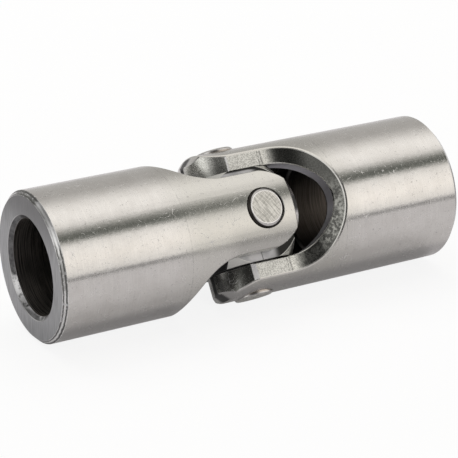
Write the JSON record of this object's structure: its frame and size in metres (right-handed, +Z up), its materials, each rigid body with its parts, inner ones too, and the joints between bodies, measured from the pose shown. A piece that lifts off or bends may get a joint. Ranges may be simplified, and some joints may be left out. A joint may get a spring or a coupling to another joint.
{
  "type": "universal joint",
  "caption": "Single universal joint: two bored yokes with forked ears, turned a quarter turn to each other on a centre block with crossed pins.",
  "frame": {"origin": "where the two pin axes cross, which is also the middle of the joint", "axes": "+X along the joint's axis towards the right yoke's bore, +Z up with the joint lying on its two hubs; the long pin points to -Y and up, 32.4 degrees above level, and the short pins are square to it"},
  "size_m": [0.0746, 0.025, 0.025],
  "materials": {
    "yoke_steel": "fine turned, satin",
    "block_steel": "ground, satin",
    "pin_steel": "ground, end faces brushed",
    "rivet_steel": "formed head, dull"
  },
  "bodies": {
    "left_fork": {"left_yoke": "yoke_steel"},
    "cross": {"centre_block": "block_steel", "long_pin": "pin_steel", "short_pin_upper": "pin_steel", "short_pin_lower": "pin_steel", "lock_rivet": "rivet_steel"},
    "right_fork": {"right_yoke": "yoke_steel"}
  },
  "joints": [
    {"name": "long_pin_hinge", "type": "hinge", "parent": "left_fork", "child": "cross", "pos_m": [0, 0, 0], "axis": [0, -0.8443, 0.5358], "range_deg": [-32.5, 32.5]},
    {"name": "short_pin_hinge", "type": "hinge", "parent": "cross", "child": "right_fork", "pos_m": [0, 0, 0], "axis": [0, 0.5358, 0.8443], "range_deg": [-32.5, 32.5]}
  ]
}
